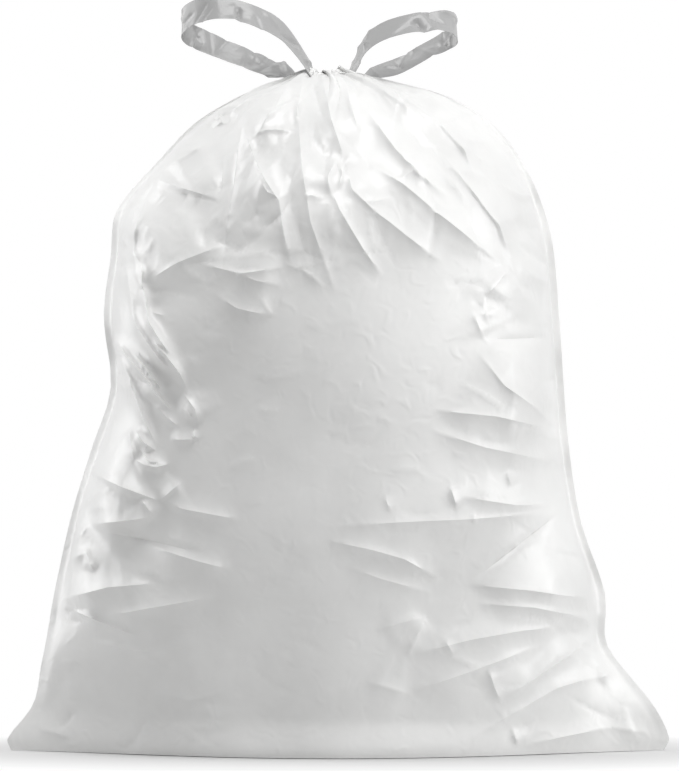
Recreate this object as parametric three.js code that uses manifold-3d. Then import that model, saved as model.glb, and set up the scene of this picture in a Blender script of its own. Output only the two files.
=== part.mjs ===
// A white drawstring kitchen trash bag, filled, drawn shut at the neck and standing on its base.
// Millimetres, +Z up. The front panel faces -Y and the side seams lie left and right, along X.
// The bag is one film envelope: a front and a back panel joined by a fold along the bottom and by
// a welded seam down each side. Its mouth is a hem that two flat draw tapes gather into pleats,
// and each tape stands out of its notch in the hem as a hand loop.
import * as THREE from "three";
import { LoftGeometry } from "three/addons/geometries/LoftGeometry.js";
import { mergeVertices } from "three/addons/utils/BufferGeometryUtils.js";
import Module from "manifold-3d";

// Main sizes of the filled bag
const BASE_WIDTH = 580; // from ear to ear along the floor, seams included
const BODY_DEPTH = 328; // front to back where it is fullest
const NECK_HEIGHT = 594; // floor to the top of the bunched hem

// The welded strip outside each side of the body
const SEAM_WIDTH = 8;
const SEAM_THICKNESS = 1.6;

// Pleats that the tapes pull into the film: deepest at the neck, gone at the shoulder
const PLEAT_COUNT = 13;
const PLEAT_DEPTH = 9;
const PLEAT_LENGTH = 150;

// Folds that the contents push into the panels. The back panel's folds wander from the front's.
const FOLD_WIDTH = 26;
const FOLD_HEIGHT = 10;
const FOLD_REACH = 3; // fold widths from the crest to where the film lies flat
const FOLD_END = 0.3; // share of a fold's width that is left at its ends
const BACK_WANDER = 21;
const BACK_WAVE = 600;

// The draw tapes: flat strips, both ends of each tucked into the hem. Reach is how far a loop stands
// out sideways from its notch, rise how far above it, and opening how far forward its near side is.
const TAPE_WIDTH = 24;
const TAPE_THICKNESS = 0.6;
const TAPE_TUCK = 18;
const TAPE_CLEARANCE = 0.35;
const LEFT_NOTCH = 27; // from the middle of the bag
const LEFT_REACH = 109;
const LEFT_RISE = 50;
const LEFT_OPENING = 33;
const RIGHT_NOTCH = 11;
const RIGHT_REACH = 93;
const RIGHT_RISE = 40;
const RIGHT_OPENING = 28;

// Mesh fineness
const COLUMNS = 92;
const ROWS_PER_LEVEL = 3;
const STEPS_PER_POINT = 5;

// Horizontal sections of the body, from the floor up. Each is a share of the main sizes: up of the
// height, left and right of the half width inside the seams, depth of the half depth. A lens of 1.5
// thins to flat ears at both ends, and 0.5 is an oval.
const LEVELS = [
  { up: 0, left: 0.98, right: 0.98, depth: 0.63, lens: 1.5 },
  { up: 0.018, left: 0.996, right: 1, depth: 0.67, lens: 1.5 },
  { up: 0.067, left: 0.915, right: 0.95, depth: 0.72, lens: 1.25 },
  { up: 0.118, left: 0.894, right: 0.862, depth: 0.77, lens: 1 },
  { up: 0.162, left: 0.876, right: 0.801, depth: 0.81, lens: 0.86 },
  { up: 0.232, left: 0.851, right: 0.801, depth: 0.85, lens: 0.74 },
  { up: 0.333, left: 0.805, right: 0.727, depth: 0.91, lens: 0.64 },
  { up: 0.441, left: 0.738, right: 0.691, depth: 0.96, lens: 0.57 },
  { up: 0.532, left: 0.677, right: 0.674, depth: 0.99, lens: 0.53 },
  { up: 0.636, left: 0.699, right: 0.66, depth: 1, lens: 0.5 },
  { up: 0.727, left: 0.677, right: 0.645, depth: 0.96, lens: 0.5 },
  { up: 0.796, left: 0.66, right: 0.613, depth: 0.89, lens: 0.5 },
  { up: 0.864, left: 0.539, right: 0.553, depth: 0.74, lens: 0.5 },
  { up: 0.921, left: 0.429, right: 0.465, depth: 0.56, lens: 0.5 },
  { up: 0.961, left: 0.291, right: 0.326, depth: 0.38, lens: 0.5 },
  { up: 0.983, left: 0.177, right: 0.156, depth: 0.22, lens: 0.5 },
  { up: 1, left: 0.096, right: 0.035, depth: 0.085, lens: 0.5 },
];

// Folds of the front panel. The crest runs through places [across, up]: across in half base widths
// from the middle, up in neck heights. Tall is in fold heights. Left and right are how wide the film
// falls away on the two sides of the crest as it runs, in fold widths.
const FRONT_FOLDS = [
  { path: [[-0.28, 0.9], [-0.31, 0.81], [-0.32, 0.74]], tall: 1.2, left: 1.5, right: 1.3 },
  { path: [[-0.12, 0.91], [-0.1, 0.82], [-0.05, 0.71]], tall: 1, left: 0.8, right: 1.2 },
  { path: [[-0.05, 0.98], [-0.02, 0.92], [0.02, 0.85]], tall: 0.9, left: 0.9, right: 0.5 },
  { path: [[-0.01, 0.89], [0.04, 0.82], [0.22, 0.74]], tall: 1, left: 1, right: 0.5 },
  { path: [[-0.03, 0.84], [0, 0.8], [0.14, 0.7]], tall: 0.9, left: 0.4, right: 0.9 },
  { path: [[0.06, 0.94], [0.19, 0.86], [0.33, 0.81]], tall: 0.9, left: 0.7, right: 0.5 },
  { path: [[0.08, 0.86], [0.27, 0.79], [0.44, 0.72]], tall: 0.9, left: 0.7, right: 0.5 },
  { path: [[0.17, 0.95], [0.37, 0.87], [0.5, 0.72]], tall: 0.8, left: 0.9, right: 0.7 },
  { path: [[-0.35, 0.9], [-0.13, 0.9]], tall: 0.6, left: 1, right: 0.6 },
  { path: [[-0.56, 0.69], [-0.38, 0.73], [-0.31, 0.74]], tall: 0.7, left: 1.3, right: 0.5 },
  { path: [[-0.35, 0.68], [-0.29, 0.66], [-0.19, 0.65]], tall: 0.6, left: 0.8, right: 0.4 },
  { path: [[-0.1, 0.96], [-0.2, 0.92], [-0.27, 0.87]], tall: 0.6, left: 0.5, right: 0.7 },
  { path: [[-0.56, 0.81], [-0.59, 0.73], [-0.55, 0.65]], tall: 0.6, left: 2, right: 0.8 },
  { path: [[-0.59, 0.69], [-0.5, 0.6], [-0.4, 0.51]], tall: 0.7, left: 2, right: 0.8 },
  { path: [[-0.68, 0.62], [-0.59, 0.54], [-0.48, 0.43]], tall: 1, left: 0.9, right: 0.5 },
  { path: [[-0.75, 0.41], [-0.5, 0.38]], tall: 0.9, left: 0.9, right: 0.4 },
  { path: [[-0.52, 0.36], [-0.75, 0.34]], tall: 1, left: 0.5, right: 0.9 },
  { path: [[-0.84, 0.22], [-0.67, 0.25], [-0.52, 0.27]], tall: 1, left: 0.7, right: 0.8 },
  { path: [[-0.7, 0.21], [-0.34, 0.25]], tall: 0.7, left: 0.7, right: 0.6 },
  { path: [[-0.55, 0.32], [-0.3, 0.29]], tall: 0.6, left: 0.5, right: 0.6 },
  { path: [[0.39, 0.6], [0.48, 0.54], [0.65, 0.47]], tall: 1.1, left: 1.5, right: 1 },
  { path: [[0.26, 0.52], [0.45, 0.5], [0.64, 0.47]], tall: 0.8, left: 0.6, right: 0.5 },
  { path: [[0.26, 0.49], [0.42, 0.46], [0.65, 0.43]], tall: 0.6, left: 0.5, right: 0.6 },
  { path: [[-0.04, 0.35], [0.39, 0.36], [0.65, 0.36]], tall: 0.8, left: 1.2, right: 0.7 },
  { path: [[-0.04, 0.34], [0.19, 0.31], [0.3, 0.27]], tall: 0.9, left: 0.5, right: 0.4 },
  { path: [[0.37, 0.27], [0.56, 0.25], [0.76, 0.22]], tall: 1.2, left: 1.5, right: 0.4 },
  { path: [[0.4, 0.22], [0.77, 0.19]], tall: 0.7, left: 0.4, right: 0.5 },
  { path: [[0.19, 0.16], [0.54, 0.19], [0.7, 0.19]], tall: 0.7, left: 0.6, right: 0.4 },
  { path: [[0.19, 0.11], [0.44, 0.15], [0.61, 0.17]], tall: 0.9, left: 0.7, right: 0.9 },
  { path: [[0.46, 0.09], [0.61, 0.13], [0.77, 0.17]], tall: 0.8, left: 0.6, right: 0.5 },
  { path: [[0.37, 0.04], [0.65, 0.1], [0.83, 0.12]], tall: 0.6, left: 0.5, right: 0.6 },
];

// The route of a hand loop along the middle of its tape, out of the notch and back into it. Points
// are [out, back, up] in shares of reach, opening and rise. Lean is the tilt of the tape's width from
// upright toward the back, in degrees, where the tape enters, at each point, and where it ends.
const LEFT_ROUTE = [
  [-0.03, -0.21, -0.06],
  [0.07, -0.45, 0.3],
  [0.2, -0.73, 0.62],
  [0.38, -0.94, 0.84],
  [0.59, -1, 0.98],
  [0.77, -0.88, 1],
  [0.92, -0.48, 0.94],
  [1, -0.03, 0.8],
  [0.93, 0.33, 0.62],
  [0.74, 0.48, 0.44],
  [0.54, 0.48, 0.26],
  [0.34, 0.36, 0.08],
  [0.15, 0.21, -0.08],
];
const LEFT_LEAN = [70, 62, 50, 42, 39, 38, 33, 22, 14, 22, 34, 40, 46, 60, 70];
const RIGHT_ROUTE = [
  [0.03, -0.25, 0],
  [0.14, -0.54, 0.5],
  [0.31, -0.82, 0.78],
  [0.58, -1, 0.95],
  [0.81, -0.86, 1],
  [0.96, -0.43, 0.95],
  [1, 0.04, 0.8],
  [0.89, 0.43, 0.63],
  [0.67, 0.61, 0.38],
  [0.44, 0.57, 0.1],
  [0.22, 0.36, -0.1],
];
const RIGHT_LEAN = [70, 60, 48, 44, 44, 42, 36, 34, 40, 46, 50, 60, 70];
// Where the near and the far end of a tape lie in the hem: [out, back] in the same shares.
const NEAR_END = [-0.075, -0.16];
const FAR_END = [0.05, 0.16];

const wasm = await Module();
wasm.setup();

// Each measure of the levels runs on one smooth curve up the bag.
const bodyReach = BASE_WIDTH / 2 - SEAM_WIDTH;
const curveOf = (measure, unit) =>
  new THREE.SplineCurve(
    LEVELS.map((level) => new THREE.Vector2(level[measure] * unit, level.up * NECK_HEIGHT)),
  );
const leftCurve = curveOf("left", bodyReach);
const rightCurve = curveOf("right", bodyReach);
const depthCurve = curveOf("depth", BODY_DEPTH / 2);
const lensCurve = curveOf("lens", 1);

// How far a fold lifts the film at a place on its panel: a crest that fades at both ends, with flanks
// that run out to either side.
function foldLift({ path, tall, left, right }, place) {
  const halfBase = BASE_WIDTH / 2;
  const corners = path.map(([across, up]) => new THREE.Vector2(across * halfBase, up * NECK_HEIGHT));
  const lengths = corners.slice(1).map((corner, i) => corner.distanceTo(corners[i]));
  const whole = lengths.reduce((sum, length) => sum + length, 0);
  let nearest = { away: Infinity };
  let start = 0;
  lengths.forEach((length, i) => {
    const along = corners[i + 1].clone().sub(corners[i]);
    const offset = place.clone().sub(corners[i]);
    const share = THREE.MathUtils.clamp(offset.dot(along) / along.lengthSq(), 0, 1);
    const away = offset.distanceTo(along.clone().multiplyScalar(share));
    if (away < nearest.away) {
      nearest = { away, onLeft: along.cross(offset) > 0, share: (start + share * length) / whole };
    }
    start += length;
  });
  const fade = THREE.MathUtils.smoothstep(Math.min(nearest.share, 1 - nearest.share), 0, 0.5);
  const width = (nearest.onLeft ? left : right) * FOLD_WIDTH * THREE.MathUtils.lerp(FOLD_END, 1, fade);
  const flank = Math.exp(-nearest.away / width) - Math.exp(-FOLD_REACH);
  return tall * FOLD_HEIGHT * fade * Math.max(0, flank);
}

// One horizontal section of the film: its points run from the left seam along the front to the
// right seam and back along the rear panel.
function section(share) {
  const { x: left, y: height } = leftCurve.getPoint(share);
  const right = rightCurve.getPoint(share).x;
  const depth = depthCurve.getPoint(share).x;
  const lens = lensCurve.getPoint(share).x;
  const middle = (right - left) / 2;
  const halfWidth = (right + left) / 2;
  const up = height / NECK_HEIGHT;
  const gather = THREE.MathUtils.smoothstep(height, NECK_HEIGHT - PLEAT_LENGTH, NECK_HEIGHT);
  const clearOfFloor = THREE.MathUtils.smoothstep(up, 0, 0.06);
  const clearOfNeck = 1 - THREE.MathUtils.smoothstep(up, 0.86, 0.98);
  const seam = SEAM_WIDTH * (1 - 0.7 * gather);
  const panelColumns = COLUMNS / 2 - 2;

  const panelPoint = (column, side) => {
    const turn = (Math.PI * column) / panelColumns;
    const across = -side * Math.cos(turn);
    const swell = Math.sin(turn) ** (2 * lens);
    const place = new THREE.Vector2(middle + across * halfWidth, height);
    if (side < 0) {
      const { x, y } = place;
      place.x += BACK_WANDER * Math.sin((2 * Math.PI * y) / BACK_WAVE);
      place.y += BACK_WANDER * Math.sin((2 * Math.PI * x) / BACK_WAVE + 1);
    }
    const lift = FRONT_FOLDS.reduce((sum, fold) => sum + foldLift(fold, place), 0);
    const wander = turn + 0.2 * Math.sin(2 * turn + side) + (side > 0 ? 0 : Math.PI);
    const pleat = -PLEAT_DEPTH * gather * (0.5 - 0.5 * Math.cos(PLEAT_COUNT * wander));
    const outward = (lift * clearOfFloor * clearOfNeck + pleat) * Math.sin(turn) ** 0.5;
    const reach = Math.hypot(across * depth, Math.sin(turn) * halfWidth);
    return new THREE.Vector3(
      middle + across * halfWidth + (outward * across * depth) / reach,
      -side * (SEAM_THICKNESS / 2 + depth * swell + (outward * Math.sin(turn) * halfWidth) / reach),
      height,
    );
  };

  const points = [new THREE.Vector3(-left - seam, 0, height)];
  for (let column = 0; column <= panelColumns; column++) points.push(panelPoint(column, 1));
  points.push(new THREE.Vector3(right + seam, 0, height));
  for (let column = 0; column <= panelColumns; column++) points.push(panelPoint(column, -1));
  return points;
}

// The filled film envelope, closed below by its flattened base and above by the bunched hem.
function bagGeometry() {
  const rows = (LEVELS.length - 1) * ROWS_PER_LEVEL;
  const sections = Array.from({ length: rows + 1 }, (_, row) => section(row / rows));
  return new LoftGeometry(sections, { capStart: true, capEnd: true });
}

// A hand loop: side is -1 for the left one and 1 for the right one.
function loop(side, notch, reach, rise, opening, route, lean) {
  const origin = new THREE.Vector3(side * notch, 0, NECK_HEIGHT);
  const place = ([out, back, up]) =>
    new THREE.Vector3(side * out * reach, back * opening, up * rise).add(origin);
  const tucked = (end) => place([...end, -TAPE_TUCK / rise]);
  return {
    path: new THREE.CatmullRomCurve3([tucked(NEAR_END), ...route.map(place), tucked(FAR_END)]),
    leans: new THREE.SplineCurve(lean.map((angle, i) => new THREE.Vector2(angle, i))),
    steps: (route.length + 1) * STEPS_PER_POINT,
  };
}

// Corners and middles of a tape's flat section, as shares of its width and thickness.
const TAPE_SECTION = [[-0.5, -0.5], [0, -0.5], [0.5, -0.5], [0.5, 0.5], [0, 0.5], [-0.5, 0.5]];

// A tape bent along a loop, or the pocket that leaves it some clearance all round and at its ends.
function tapeGeometry({ path, leans, steps }, clearance = 0) {
  const width = TAPE_WIDTH + 2 * clearance;
  const thickness = TAPE_THICKNESS + 2 * clearance;
  const sections = Array.from({ length: steps + 1 }, (_, step) => {
    const share = step / steps;
    const along = path.getTangent(share);
    const overrun = step === 0 ? -clearance : step === steps ? clearance : 0;
    const centre = path.getPoint(share).addScaledVector(along, overrun);
    const tilt = THREE.MathUtils.degToRad(leans.getPoint(share).x);
    const upright = new THREE.Vector3(0, Math.sin(tilt), Math.cos(tilt));
    const across = upright.sub(along.clone().multiplyScalar(upright.dot(along))).normalize();
    const facing = new THREE.Vector3().crossVectors(along, across);
    return TAPE_SECTION.map(([acrossShare, facingShare]) =>
      centre
        .clone()
        .addScaledVector(across, acrossShare * width)
        .addScaledVector(facing, facingShare * thickness),
    );
  });
  return new LoftGeometry(sections, { capStart: true, capEnd: true });
}

// A closed geometry as a solid for cutting, and a solid as a geometry.
function solidOf(geometry) {
  const bare = new THREE.BufferGeometry();
  bare.setAttribute("position", geometry.getAttribute("position"));
  bare.setIndex(geometry.getIndex());
  const merged = mergeVertices(bare, 1e-4);
  return new wasm.Manifold(
    new wasm.Mesh({
      numProp: 3,
      vertProperties: merged.attributes.position.array,
      triVerts: new Uint32Array(merged.index.array),
    }),
  );
}

function geometryOf(solid) {
  const { vertProperties, triVerts } = solid.getMesh();
  const geometry = new THREE.BufferGeometry();
  geometry.setAttribute("position", new THREE.BufferAttribute(vertProperties, 3));
  geometry.setIndex(new THREE.BufferAttribute(triVerts, 1));
  geometry.computeVertexNormals();
  return geometry;
}

const film = new THREE.MeshStandardMaterial({ color: 0xf2f2f2, roughness: 0.35, metalness: 0 });
const tape = new THREE.MeshStandardMaterial({ color: 0xa6a6a6, roughness: 0.3, metalness: 0 });

function named(name, geometry, material) {
  const mesh = new THREE.Mesh(geometry, material);
  mesh.name = name;
  return mesh;
}

const leftLoop = loop(-1, LEFT_NOTCH, LEFT_REACH, LEFT_RISE, LEFT_OPENING, LEFT_ROUTE, LEFT_LEAN);
const rightLoop = loop(1, RIGHT_NOTCH, RIGHT_REACH, RIGHT_RISE, RIGHT_OPENING, RIGHT_ROUTE, RIGHT_LEAN);

// The hem keeps a pocket around both ends of each tape.
const leftPocket = solidOf(tapeGeometry(leftLoop, TAPE_CLEARANCE));
const rightPocket = solidOf(tapeGeometry(rightLoop, TAPE_CLEARANCE));
const bagSolid = solidOf(bagGeometry()).subtract(leftPocket).subtract(rightPocket);

const bag = new THREE.Group();
bag.add(named("film_bag", geometryOf(bagSolid), film));
bag.add(named("left_draw_tape", tapeGeometry(leftLoop), tape));
bag.add(named("right_draw_tape", tapeGeometry(rightLoop), tape));

// The origin is under the middle of the bag, on the floor.
const box = new THREE.Box3().setFromObject(bag);
const middle = box.getCenter(new THREE.Vector3());
for (const { geometry } of bag.children) geometry.translate(-middle.x, -middle.y, -box.min.z);

export default bag;
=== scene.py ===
"""A filled white trash bag, drawn shut by two grey tapes and standing on a white floor."""

import math

import bpy
import numpy as np
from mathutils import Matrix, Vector
from mathutils.bvhtree import BVHTree
from mathutils.geometry import delaunay_2d_cdt
from mathutils.kdtree import KDTree


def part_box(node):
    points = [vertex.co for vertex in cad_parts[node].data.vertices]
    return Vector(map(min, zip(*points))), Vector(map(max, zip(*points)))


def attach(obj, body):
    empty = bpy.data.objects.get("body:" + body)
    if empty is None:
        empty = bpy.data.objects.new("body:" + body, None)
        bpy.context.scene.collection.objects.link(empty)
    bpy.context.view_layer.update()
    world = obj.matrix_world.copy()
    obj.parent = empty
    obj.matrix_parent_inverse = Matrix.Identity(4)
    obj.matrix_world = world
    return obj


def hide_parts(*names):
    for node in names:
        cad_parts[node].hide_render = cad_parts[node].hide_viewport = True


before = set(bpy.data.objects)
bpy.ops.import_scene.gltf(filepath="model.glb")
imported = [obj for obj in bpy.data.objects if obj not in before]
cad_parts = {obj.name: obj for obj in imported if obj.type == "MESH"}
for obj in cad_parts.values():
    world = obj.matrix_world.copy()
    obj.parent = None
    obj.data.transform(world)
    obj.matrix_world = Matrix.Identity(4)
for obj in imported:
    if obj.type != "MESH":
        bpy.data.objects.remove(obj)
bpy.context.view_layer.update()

# Camera: a long lens a quarter of a metre above the floor, square to the front panel and tilted up
# a little. It takes in the bag from ear to ear and from the floor to the top of the hand loops.
MM = 0.001
PICTURE_WIDTH, PICTURE_HEIGHT = 679, 771
METRES_PER_PIXEL = 0.87 * MM  # at the plane of the side seams
CAMERA_DISTANCE = 4
CAMERA_ELEVATION = math.radians(-1)
SENSOR_WIDTH = 36  # millimetres
FLOOR_PIXEL = (338, 751)  # where the middle of the base stands in the picture

sight = Vector((0, math.cos(CAMERA_ELEVATION), -math.sin(CAMERA_ELEVATION)))
picture_up = Vector((0, math.sin(CAMERA_ELEVATION), math.cos(CAMERA_ELEVATION)))
picture_middle = (
    Vector((1, 0, 0)) * (PICTURE_WIDTH / 2 - FLOOR_PIXEL[0]) * METRES_PER_PIXEL
    + picture_up * (FLOOR_PIXEL[1] - PICTURE_HEIGHT / 2) * METRES_PER_PIXEL
)
camera_data = bpy.data.cameras.new("camera")
camera_data.sensor_width = SENSOR_WIDTH
camera_data.lens = SENSOR_WIDTH * CAMERA_DISTANCE / (PICTURE_HEIGHT * METRES_PER_PIXEL)
camera = bpy.data.objects.new("camera", camera_data)
bpy.context.scene.collection.objects.link(camera)
camera.location = picture_middle - sight * CAMERA_DISTANCE
camera.rotation_mode = "QUATERNION"
camera.rotation_quaternion = sight.to_track_quat("-Z", "Y")
bpy.context.scene.camera = camera


# Film envelope: a front and a back panel of blown white polyethylene film, joined by a fold along the
# bottom and a weld down each side, and gathered by the draw tapes at the mouth. The film bends easily
# but hardly stretches, so where it is slack over the filling it lies in sharp folds.
HALF = 288  # columns of one panel, from seam to seam
COLUMNS = 2 * HALF
BASE_ROWS, WALL_ROWS = 24, 316
ROWS = BASE_ROWS + WALL_ROWS
SEED = 7

bag_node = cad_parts["film_bag"]
bag_tree = BVHTree.FromObject(bag_node, bpy.context.evaluated_depsgraph_get())
neck_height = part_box("film_bag")[1].z

# The solid bag is cut level at these heights, closer together at the neck.
BODY_CUTS = np.linspace(0.5 * MM, neck_height * 0.9, 60)
NECK_CUTS = np.linspace(neck_height * 0.91, neck_height - 1 * MM, 16)
CUT_POINTS = 121  # across either panel
OFF_MIDDLE = 0.1 * MM  # from the bag's middle plane, to meet the flat strips of the seams
FAR_OUT = 1  # metres, outside the bag
TINY = 1e-12  # added to a length before it divides, so that none is 0


def surface(start, direction):
    """Where a ray first meets the solid bag."""
    return bag_tree.ray_cast(Vector(start), Vector(direction))[0]


def travelled(points):
    """How far along a line each of its points lies."""
    steps = np.linalg.norm(np.diff(points, axis=0), axis=1)
    return np.concatenate([[0], np.cumsum(steps)])


def spread_evenly(points, count):
    """A line's points, moved to equal steps of its length."""
    along = travelled(points)
    places = np.linspace(0, along[-1], count)
    return np.stack([np.interp(places, along, values) for values in points.T], axis=1)


def filled_form():
    """The filled form as a grid: rows from the bottom fold out along the floor and up to the hem,
    and columns round the girth from the left seam, along the front first."""
    sections = []
    for height in np.concatenate([BODY_CUTS, NECK_CUTS]):
        left = surface((-FAR_OUT, OFF_MIDDLE, height), (1, 0, 0)).x
        right = surface((FAR_OUT, OFF_MIDDLE, height), (-1, 0, 0)).x
        across = (left + right) / 2 - (right - left) / 2 * np.cos(np.linspace(0, np.pi, CUT_POINTS))
        front, back = [(left, 0, height)], [(left, 0, height)]
        for x in across[1:-1]:
            front.append((x, surface((x, -FAR_OUT, height), (0, 1, 0)).y, height))
            back.append((x, surface((x, FAR_OUT, height), (0, -1, 0)).y, height))
        front = spread_evenly(np.array(front + [(right, 0, height)]), HALF + 1)
        back = spread_evenly(np.array(back + [(right, 0, height)]), HALF + 1)
        sections.append(np.concatenate([front[:-1], back[:0:-1]]))
    sections = np.array(sections)
    wall = [spread_evenly(sections[:, column], WALL_ROWS) for column in range(COLUMNS)]
    out = np.linspace(0, 1, BASE_ROWS, endpoint=False)[:, None, None]
    base = sections[:1] * [1, 0, 1] * (1 - out) + sections[:1] * out
    return np.concatenate([base, np.stack(wall, axis=1)])


def rows_beside(grid):
    """The rows above and below each row of a grid; an end row stands in for the one it lacks."""
    return np.concatenate([grid[1:], grid[-1:]]), np.concatenate([grid[:1], grid[:-1]])


def neighbours(grid):
    """The mean of each grid point's four neighbours: columns run round, rows end."""
    above, below = rows_beside(grid)
    return (np.roll(grid, 1, axis=1) + np.roll(grid, -1, axis=1) + above + below) / 4


def facing(grid):
    """The outward direction at each grid point."""
    above, below = rows_beside(grid)
    out = np.cross(np.roll(grid, -1, axis=1) - np.roll(grid, 1, axis=1), above - below)
    return out / (np.linalg.norm(out, axis=-1, keepdims=True) + TINY)


def ramp(low, high, value):
    """0 at low, 1 at high, straight between them and level beyond."""
    return np.clip((value - low) / (high - low), 0, 1)


def smooth_step(low, high, value):
    """0 at low, 1 at high, with an eased rise between them and level beyond."""
    share = ramp(low, high, value)
    return share * share * (3 - 2 * share)


SEAM_COLUMNS = 4  # the welded strip outside each side of the body
SMOOTHING = 160  # rounds that take the solid's facets and plain folds out of the form

form = filled_form()
column_numbers = np.arange(COLUMNS)
seam_distance = np.abs((column_numbers + HALF / 2) % HALF - HALF / 2)  # columns to the nearer seam
stays = np.zeros((ROWS, COLUMNS, 1), bool)
stays[:, seam_distance <= SEAM_COLUMNS] = True
stays[: BASE_ROWS + 1] = True
stays[-1] = True
for _ in range(SMOOTHING):
    form = np.where(stays, form, (form + neighbours(form)) / 2)

# The welded strips hang slack between the foot and the shoulders, so they waver to the front and
# the back on their way up.
WAVER = [(47, 0.8, 0.3), (79, 1.6, 1.1), (151, 3, 2.4)]  # wavelength and height in mm, start in radians
WAVER_COLUMNS = 14  # from a seam to where the film no longer wavers
SLACK_STARTS, SLACK_ENDS = (10, 60), (480, 560)  # millimetres above the floor
above_floor = form[..., 2] / MM
seam_side = np.where(np.abs(column_numbers - HALF) < HALF / 2, 1, -1)
waver = sum(
    tall * np.sin(2 * np.pi * above_floor / length + start + seam_side) for length, tall, start in WAVER
)
near_seam = 1 - smooth_step(SEAM_COLUMNS, WAVER_COLUMNS, seam_distance)
slack = smooth_step(*SLACK_STARTS, above_floor) * (1 - smooth_step(*SLACK_ENDS, above_floor))
form[..., 1] += waver * near_seam * slack * MM

# The filling has settled. Its weight spreads the walls on the floor, and above that they draw in
# under its belly.
FOOT_SPREAD = 0.14  # share of the depth
FOOT_HEIGHT = 34  # millimetres
BELLY = [(0.015, 220, 90), (-0.07, 30, 105)]  # share of the depth, height and reach up and down in mm
form[..., 1] *= 1 + FOOT_SPREAD * (1 - smooth_step(0, FOOT_HEIGHT, above_floor))
form[..., 1] *= 1 + sum(
    share * np.exp(-(((above_floor - middle) / reach) ** 2)) for share, middle, reach in BELLY
)

# The edge of the left strip hangs back.
LEFT_LEAN = 7  # millimetres
left_strip = np.clip(1 - seam_distance / SEAM_COLUMNS, 0, 1) * (seam_side < 0)
form[..., 1] += LEFT_LEAN * left_strip * slack * MM

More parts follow.
